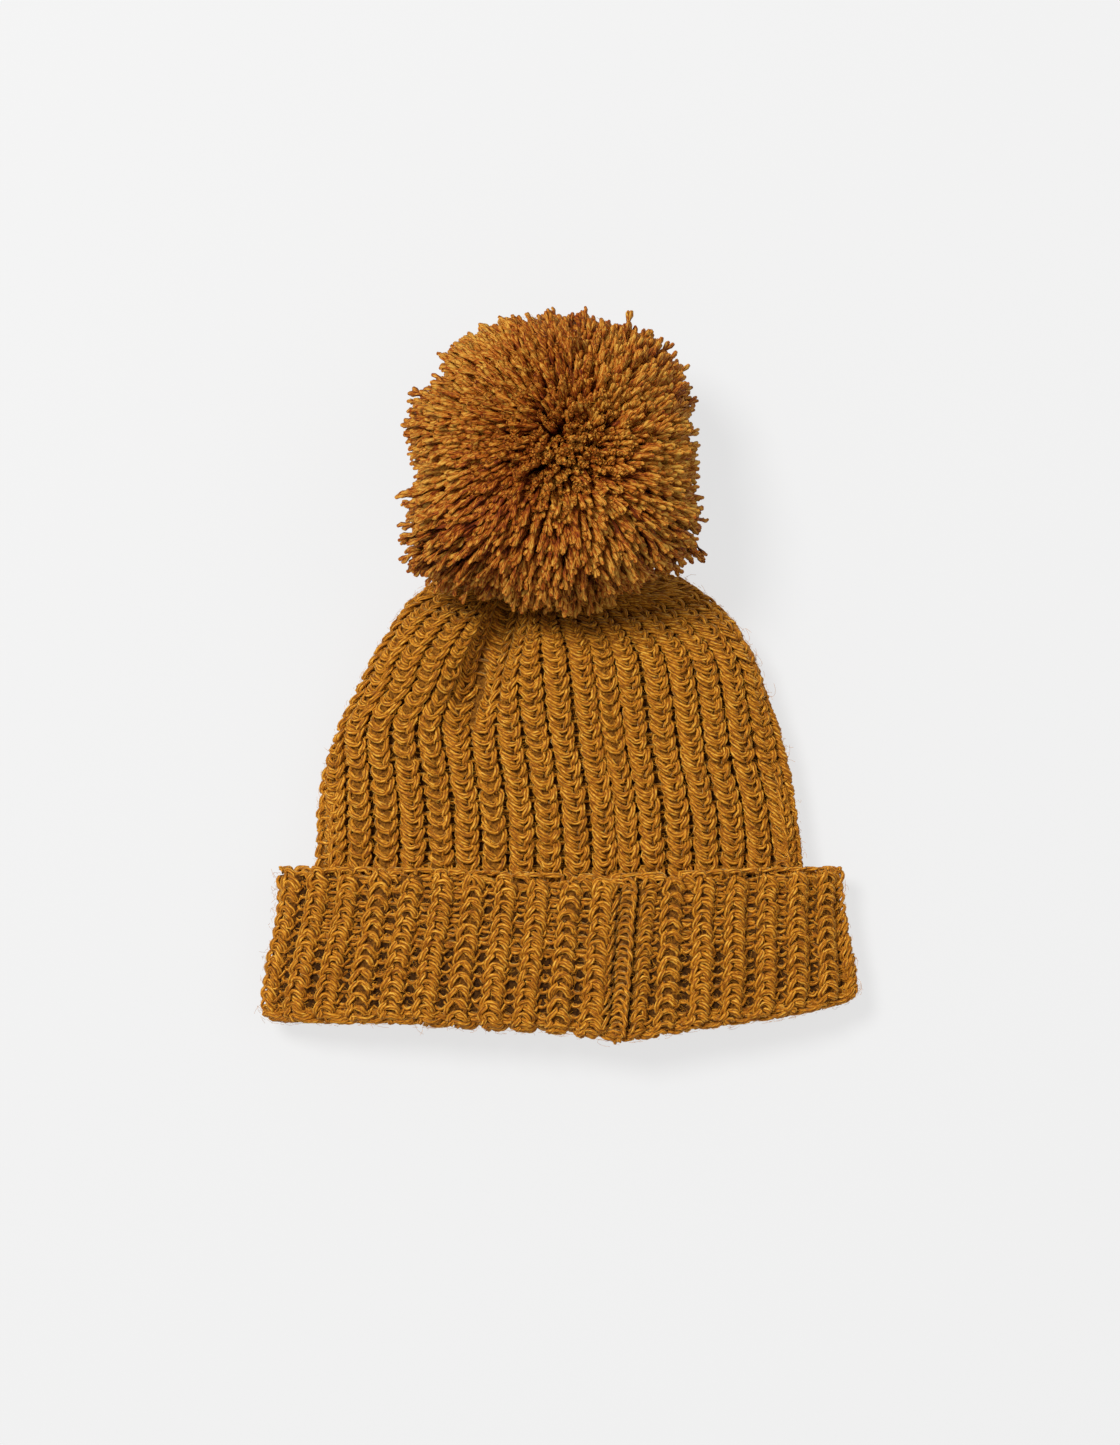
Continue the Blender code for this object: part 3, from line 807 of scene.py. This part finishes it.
CUFF_B = [
    ("P", 0.2, 0.30, -4.4, -0.45), ("V", -2.75, 0.97, -1.6, -0.20), ("V", -1.8, 0.58, -0.40, -0.04),
    ("V", -0.6, 0.33, -0.38, 0.06), ("V", 0.8, 0.33, -0.55, 0.16), ("V", 1.8, 0.55, -1.3, 0.28), ("V", 2.5, 0.9, -2.5, 0.42),
]
# the stitches either side of the seam in the brim, as (across, along, height)
SEAM_A = [
    (-6.0, 0.10, -2.6), (-5.0, 0.42, -1.1), (-3.3, 0.50, -0.6), (-1.9, 0.22, -0.5), (-1.25, -0.12, -0.8),
    (-0.95, -0.35, -2.4), (-0.75, 0.0, -4.2),
    (0.75, 0.0, -4.2), (0.95, -0.35, -2.4), (1.4, -0.10, -0.8), (2.2, 0.25, -0.4), (3.4, 0.42, -0.6),
    (4.7, 0.28, -1.1), (5.4, -0.10, -2.2), (6.0, -0.2, -3.0),
]
SEAM_B = [
    (-5.4, 0.80, -1.6), (-3.7, 0.98, -0.8), (-1.7, 0.72, -1.6), (0.0, 0.60, -4.4), (1.7, 0.62, -1.6), (3.5, 0.90, -0.8),
    (5.2, 0.75, -1.7),
]
cuff = cuff_surface()
cg = float(cuff.girth_at(50.0))
cuff_ribs = rib_table(24.0 / cg, cg, 11.9)
c_rows = int((cuff.length - 4.0) / CUFF_ROW)
print("cuff length", round(cuff.length, 1), "rows", c_rows, "girth", round(cg, 1))
c0 = cuff.length - 1.2 - (c_rows - 1) * CUFF_ROW - 0.5 * CUFF_ROW
band = Yarns()
stitches(band, cuff, cuff_ribs, CUFF_A, range(0, c_rows), CUFF_ROW, c0, rng, flip=True, pitch0=11.0, seam=SEAM_A, narrow=1.13)
stitches(band, cuff, cuff_ribs, CUFF_B, range(0, c_rows), CUFF_ROW, c0, rng, flip=True, pitch0=11.0, seam=SEAM_B, narrow=1.13)
band_obj = band.mesh("knit_brim", WOOL_CUFF)
band_core = backing("knit_brim_inside", cuff, cuff_ribs, 0.5, cuff.length - 0.8, -2.4, -4.3, 0.50, SHADED_FELT_CUFF, 11.0, slit=True)
for o in (band_obj, band_core):
    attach(o, "cuff")
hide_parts("turned_up_cuff")

cuff_back = facing_in(cuff, 5.6)
cback = Yarns()
stitches(cback, cuff_back, cuff_ribs, BACK, range(c_rows - 7, c_rows - 1), CUFF_ROW, c0, rng, sub=2, sink=0.0, pitch0=11.0, narrow=1.15)
cback_obj = cback.mesh("knit_brim_reverse", WOOL_CUFF)
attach(cback_obj, "cuff")

# cast-on edge: a run of half hitches along the top of the brim
EDGE_1 = [
    ("V", -3.4, -0.10, -2.9, -0.2), ("V", -2.7, 0.42, -1.6, 0.0), ("V", -1.2, 0.62, -1.2, 0.1), ("V", 0.4, 0.35, -1.4, 0.25),
    ("V", 0.6, -0.12, -1.7, 0.45), ("V", 1.4, 0.36, -2.9, 0.6),
    ("P", -2.6, 0.52, -2.4, 0.8), ("P", -1.0, 0.58, -1.7, 1.0), ("P", 0.6, 0.40, -1.6, 1.1), ("P", 1.2, 0.0, -2.2, 1.3),
    ("P", 1.9, 0.2, -2.9, 1.5),
]
EDGE_2 = [
    ("V", -2.0, 0.52, -2.3, 0.0), ("V", 0.2, 0.80, -1.9, 0.3), ("V", 2.2, 0.55, -2.4, 0.6),
    ("P", -1.6, 0.75, -2.0, 0.9), ("P", 0.4, 0.60, -2.5, 1.2), ("P", 1.8, 0.72, -2.1, 1.5),
]
edge = Yarns()
stitches(edge, cuff, cuff_ribs, EDGE_1, [0], CUFF_ROW, cuff.length - 3.3, rng, pitch0=11.0, jitter=2.6)
stitches(edge, cuff, cuff_ribs, EDGE_2, [0], CUFF_ROW, cuff.length - 4.0, rng, pitch0=11.0, sink=-1.8, jitter=2.6)
edge_obj = edge.mesh("cast_on_chain", WOOL_CUFF)
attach(edge_obj, "cuff")
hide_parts("cast_on_edge")

v = np.arange(12.0, cuff.length - 2.0, 0.5)
cs_obj = column_yarn(cuff, cuff_ribs[0], v, -0.9 + 0.5 * np.sin(v * 2 * math.pi / CUFF_ROW), -1.35 + 0.35 * np.sin(v * 2 * math.pi / CUFF_ROW + 1.0),
                     0.85, 0.33, rng).mesh("seam_stitches_brim", WOOL_CUFF)
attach(cs_obj, "cuff")
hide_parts("cuff_seam_yarn")

# ---------------------------------------------------------------- the pompom
def crown_height():
    """The top of the crown on a 2 mm grid, to keep the tuft's strands out of it."""
    pts = body.P.reshape(-1, 3)
    grid = np.full((140, 140), -50.0)
    ix = np.clip(((pts[:, 0] + 140) / 2).astype(int), 0, 139)
    iy = np.clip(((pts[:, 1] + 140) / 2).astype(int), 0, 139)
    np.maximum.at(grid, (ix, iy), pts[:, 2])
    for _ in range(2):
        g = grid.copy()
        for dx in (-1, 0, 1):
            for dy in (-1, 0, 1):
                g = np.maximum(g, np.roll(np.roll(grid, dx, 0), dy, 1))
        grid = g
    return grid


def lift_off(points, grid):
    x, y = points[..., 0], points[..., 1]
    ix = np.clip(((x + 140) / 2).astype(int), 0, 139)
    iy = np.clip(((y + 140) / 2).astype(int), 0, 139)
    floor_z = np.maximum(grid[ix, iy] + 0.6, 1.0)
    above = np.maximum(points[..., 2], floor_z)
    points = points.copy()
    points[..., 2] = above
    return points


def clump(d, rng, count=9, low=2.0, high=6.0):
    """Smooth vector noise over directions."""
    out = np.zeros_like(d)
    for _ in range(count):
        k = rng.normal(0, 1, 3)
        k *= rng.uniform(low, high) / np.linalg.norm(k)
        out += np.sin(d @ k + rng.uniform(0, 6.28))[:, None] * rng.normal(0, 1, 3)
    return out / math.sqrt(count)


def tuft(count, rng, material):
    swirl = unit(np.array([0.19, -0.05, 0.98]))
    side = unit(np.cross(swirl, [0.0, 1.0, 0.0]))
    up = np.cross(side, swirl)
    i = np.arange(count) + 0.5
    th = np.arccos(1 - 2 * i / count)
    ph = i * math.pi * (1 + 5 ** 0.5)

    def direction(th, ph):
        return (
            np.cos(th)[:, None] * swirl
            + (np.sin(th) * np.cos(ph))[:, None] * side
            + (np.sin(th) * np.sin(ph))[:, None] * up
        )

    tip = direction(th, ph)
    tip = unit(tip + rng.normal(0, 0.035, tip.shape) + 0.012 * clump(tip, rng))
    th = np.arccos(np.clip(tip @ swirl, -1, 1))
    axis_part = tip - (tip @ swirl)[:, None] * swirl
    flat = unit(axis_part)
    lag = 0.50 * np.sin(th) ** 1.3 * (1 + 0.22 * rng.normal(0, 1, count))
    # how far the ends reach: fuller towards the crown's shoulders
    plan = np.arctan2(tip[:, 0], -tip[:, 1])
    low = sstep((0.75 - tip[:, 2]) / 0.6) * sstep((tip[:, 2] + 0.75) / 0.4)
    reach = 43.3 + low * (
        9.0 * np.exp(-(((np.abs(plan) - 0.85) / 0.42) ** 2))
        + 7.5 * np.exp(-((plan / 0.5) ** 2))
    )
    reach = reach - 3.5 * np.exp(-((th / 0.28) ** 2))
    reach = reach + 5.0 * np.exp(-(((plan - 2.35) / 0.3) ** 2)) * low
    around = np.abs(plan)
    reach = reach - 1.2 * low * sstep((around - 2.35) / 0.5)
    reach = reach + low * (2.6 * np.exp(-(((plan + 1.72) / 0.22) ** 2)) - 1.0 * np.exp(-(((plan - 1.5) / 0.2) ** 2)))
    reach = reach + low * (-3.2 * np.exp(-(((plan + 1.35) / 0.16) ** 2)) + 1.5 * np.exp(-(((plan + 1.0) / 0.18) ** 2)) + 4.0 * np.exp(-(((plan + 0.8) / 0.2) ** 2)) + 1.5 * np.exp(-(((plan - 0.95) / 0.22) ** 2)))
    reach = reach + low * (1.0 * np.exp(-(((plan + 2.75) / 0.18) ** 2)) - 0.8 * np.exp(-(((plan + 2.2) / 0.25) ** 2)) - 2.2 * np.exp(-(((plan - 2.55) / 0.2) ** 2)))
    reach = reach + 0.6 * clump(tip, rng, 9, 5, 9)[:, 0] + 0.6 * rng.normal(0, 1, count)
    long = rng.random(count) < 0.007
    reach = reach + long * rng.uniform(1, 4, count)
    s = np.array([0.0, 0.25, 0.5, 0.7, 0.85, 0.975, 1.0])
    m = len(s)
    r = 0.56 + 0.44 * s
    wander = clump(tip, rng, 14, 8, 18) * 0.03 + rng.normal(0, 0.045, tip.shape)
    path = np.empty((count, m, 3))
    for k in range(m):
        a = th - lag * (1 - s[k] ** 1.7)
        d = np.cos(a)[:, None] * swirl + np.sin(a)[:, None] * flat
        d = d + wander * (s[k] ** 2)
        path[:, k] = POM + d * (reach * r[k])[:, None]
    grid = crown_height()
    path = lift_off(path, grid)
    y = Yarns()
    t = unit(np.gradient(path, axis=1))
    u = unit(np.cross(t, np.broadcast_to(swirl, path.shape) + 0.01))
    w = np.cross(u, t)
    length = np.linalg.norm(np.diff(path, axis=1), axis=2).sum(axis=1)
    turn = rng.uniform(0, 6.28, (count, 1)) + length[:, None] * s[None] * (2 * math.pi / 11.0)
    gap = np.interp(s, [0, 0.6, 0.85, 0.975, 1.0], [0.42, 0.50, 0.60, 0.70, 0.76])
    thick = np.interp(s, [0, 0.6, 0.85, 0.975, 1.0], [0.55, 0.68, 0.78, 0.80, 0.58])
    size = 1 + 0.10 * rng.normal(0, 1, (count, 1))
    # painted shade along each strand: darkest at its root deep in the tuft, lightest just short of the cut end, and a
    # little darker on the cut end itself
    tint = rng.normal(0, 1.0, (count, 1)) + np.interp(s, [0, 0.5, 0.72, 0.86, 0.975, 1.0], [-12.0, -11.0, -7.0, -2.0, 1.6, -0.4])[None]
    tint = tint + 2.0 * clump(tip, np.random.default_rng(77), 7, 3, 9)[:, :1]
    for side_sign in (1.0, -1.0):
        wide = gap[None] * size * (1 + 0.40 * rng.normal(0, 1, (count, 1)) * (s[None] ** 4))
        off = (u * np.cos(turn)[..., None] + w * np.sin(turn)[..., None]) * (side_sign * wide)[..., None]
        ply = path + off
        short = rng.uniform(-0.9, 0.5, (count, 1))
        ply[:, -2:] += (t[:, -1] * short)[:, None]
        y.tubes(ply, u + 0.0 * w, thick[None] * size, turn, False, ring=HEX,
                tint=tint + 0.5 * rng.normal(0, 1, (count, 1)), along=rng.random((count, 1)) * 900, caps=True)
    return y.mesh("pompom_strands", material)


tuft_obj = tuft(5700, np.random.default_rng(5), WOOL_TUFT)
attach(tuft_obj, "pompom")
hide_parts("pompom")

# the imported middle of the tuft, in the felt painted dark as the shade among the strands' roots
th = np.linspace(0.02, math.pi - 0.02, 40)
ph = np.arange(72) * 2 * math.pi / 72
ball = np.stack([
    np.sin(th)[:, None] * np.cos(ph)[None],
    np.sin(th)[:, None] * np.sin(ph)[None],
    np.broadcast_to(np.cos(th)[:, None], (40, 72)),
], axis=-1)
tuft_core = grid_mesh("pompom_middle", POM + ball * 31.0, SHADED_FELT)
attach(tuft_core, "pompom")

# ---------------------------------------------------------------- the yarns inside
def lone_yarn(name, points, radius, closed, body_name, node, rng, turn=0.30, material=None):
    """A single plied yarn through points, standing for that CAD node."""
    pts = np.array(points, float)
    if not closed:
        step = np.linalg.norm(np.diff(pts, axis=0), axis=1)
        run = np.concatenate([[0], np.cumsum(step)])
        even = np.linspace(0, run[-1], max(8, int(run[-1] / 0.7)))
        pts = np.stack([np.interp(even, run, pts[:, i]) for i in range(3)], axis=1)
    n = len(pts)
    mid = pts.mean(axis=0)
    normal = unit(pts - mid + np.array([0.013, 0.021, 0.017]))
    phase = np.arange(n) * turn
    if closed:
        phase = np.arange(n) * (2 * math.pi * max(1, round(n * turn / (2 * math.pi))) / n)
    y = Yarns()
    y.tubes(pts[None], normal[None], radius, phase[None], closed, tint=rng.normal(0, 0.5, (1, 1)), caps=not closed)
    obj = y.mesh(name, material or WOOL)
    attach(obj, body_name)
    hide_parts(node)
    return obj


X = np.array([1.0, 0.0, 0.0])
inner_rng = np.random.default_rng(31)
t = np.linspace(0, 2 * math.pi, 97)[:-1]
knot = (
    TIE - OUT * 9.6
    + np.outer(1.2 * (np.sin(t) + 2 * np.sin(2 * t)), X)
    + np.outer(1.2 * (np.cos(t) - 2 * np.cos(2 * t)), ACROSS)
    + np.outer(1.2 * (-1.15 * np.sin(3 * t)), OUT)
)
lone_yarn("anchor_knot_yarn", knot, 0.95, True, "tie_knot", "pompom_anchor_knot", inner_rng)
run = TIE + np.outer(np.linspace(-6.4, TIE_LENGTH + 1.0, 60), OUT)
lone_yarn("tie_yarn", run, 1.0, False, "tie_cord", "pompom_anchor_yarn", inner_rng)
a = np.linspace(0, 6 * math.pi, 120)
coil = (
    POM + np.outer(2.2 * (a / (2 * math.pi) - 1.5), OUT)
    + np.outer(4.4 * np.cos(a), X) + np.outer(4.4 * np.sin(a), ACROSS)
)
lone_yarn("binding_yarn", coil, 0.9, False, "tie_cord", "pompom_binding", inner_rng)
t = np.linspace(0, 2 * math.pi, 73)[:-1]
drawn = (
    TIE - np.outer(6.0 + 1.15 * np.sin(t) ** 2 - 0.15 * np.cos(6 * t), OUT)
    + np.outer(10.0 * np.cos(t), X) + np.outer(6.2 * np.sin(t), ACROSS)
)
lone_yarn("gathering_yarn", drawn, 0.9, True, "hat", "crown_gather_yarn", inner_rng)

# ---------------------------------------------------------------- stray fibres
TRI = np.array([(math.cos(a), math.sin(a)) for a in np.arange(3) * 2 * math.pi / 3])


def hairs(start, normal, rng, length, radius, material, name, lift=0.8):
    count = len(start)
    m = 6
    s = np.linspace(0, 1, m)
    heading = unit(np.cross(normal, rng.normal(0, 1, (count, 3))))
    side = np.cross(normal, heading)
    size = np.minimum(length * rng.lognormal(0, 0.5, count), 3.2 * length)
    curl = rng.normal(0, 0.9, count)
    rise = lift * rng.random(count)
    path = np.empty((count, m, 3))
    for k in range(m):
        a = curl * s[k]
        fwd = heading * np.cos(a)[:, None] + side * np.sin(a)[:, None]
        up = np.sin(s[k] * math.pi * 0.85) * rise
        path[:, k] = start + fwd * (size * s[k])[:, None] + normal * (up * np.minimum(size, 4.0) * 0.28)[:, None]
    y = Yarns()
    y.tubes(path, np.broadcast_to(normal[:, None], path.shape) + 0.01, radius, 0.0, False, ring=TRI,
            tint=rng.normal(0, 1, (count, 1)), along=rng.random((count, 1)) * 900)
    return y.mesh(name, material)


def hairs_on(surf, count, v_from, v_to, rng, name, body_name):
    sig, v = rng.random(count), rng.uniform(v_from, v_to, count)
    p, n = surf.at(sig, v, rng.uniform(-1.6, 0.1, count))
    obj = hairs(p, n, rng, 1.9, 0.045, FIBRE, name, lift=0.35)
    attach(obj, body_name)


FIBRE = yarn_material("mustard_fibre", level=1.05, plies=False, sheen=0.1, contrast=0.6)
hair_rng = np.random.default_rng(23)
hairs_on(body, 8000, 45.0, body.length - 20.0, hair_rng, "stray_fibres_body", "hat")
hairs_on(cuff, 5500, 14.0, cuff.length - 1.0, hair_rng, "stray_fibres_brim", "cuff")
d = unit(hair_rng.normal(0, 1, (1000, 3)))
tip_at = lift_off(POM + d * hair_rng.uniform(41, 44.5, (1000, 1)), crown_height())
tuft_hair = hairs(tip_at, d, hair_rng, 1.6, 0.05, FIBRE, "stray_fibres_pompom", lift=2.0)
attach(tuft_hair, "pompom")

# ---------------------------------------------------------------- stage
floor_me = bpy.data.meshes.new("floor")
s = 6.0
floor_me.from_pydata([(-s, -s, 0), (s, -s, 0), (s, s, 0), (-s, s, 0)], [], [(0, 1, 2, 3)])
floor = bpy.data.objects.new("floor", floor_me)
bpy.context.scene.collection.objects.link(floor)
fm = bpy.data.materials.new("paper")
fm.use_nodes = True
fm.node_tree.nodes["Principled BSDF"].inputs["Base Color"].default_value = (0.15, 0.15, 0.15, 1)
fm.node_tree.nodes["Principled BSDF"].inputs["Emission Color"].default_value = (1, 1, 1, 1)
fm.node_tree.nodes["Principled BSDF"].inputs["Emission Strength"].default_value = 0.6955
fm.node_tree.nodes["Principled BSDF"].inputs["Roughness"].default_value = 0.9
fm.node_tree.nodes["Principled BSDF"].inputs["Specular IOR Level"].default_value = 0.1
floor_me.materials.append(fm)

world = bpy.data.worlds.new("studio")
world.use_nodes = True
world.node_tree.nodes["Background"].inputs["Color"].default_value = (1, 1, 1, 1)
world.node_tree.nodes["Background"].inputs["Strength"].default_value = 0.45
bpy.context.scene.world = world


def area(name, at, aim, size, power, colour=(1, 1, 1)):
    light = bpy.data.lights.new(name, "AREA")
    light.shape = "DISK"
    light.size = size
    light.energy = power
    light.color = colour
    obj = bpy.data.objects.new(name, light)
    bpy.context.scene.collection.objects.link(obj)
    obj.location = at
    d = np.array(aim, float) - np.array(at, float)
    from mathutils import Vector
    obj.rotation_euler = Vector(d).to_track_quat("-Z", "Y").to_euler()
    return obj


area("key", (-0.86, 0.84, 2.08), (0, 0, 0), 0.75, 52.0)
area("fill", (1.6, 0.6, 2.2), (0, 0, 0), 1.6, 5.0)

cam = bpy.data.cameras.new("camera")
cam.lens = 36.0 * 1500.0 / (1445 * 0.3356)
cam.clip_end = 20.0
camera = bpy.data.objects.new("camera", cam)
bpy.context.scene.collection.objects.link(camera)
camera.location = (0.0002, -0.0156, 1.5)
camera.rotation_euler = (0, 0, 0)
bpy.context.scene.camera = camera
bpy.context.scene.view_settings.view_transform = "Standard"
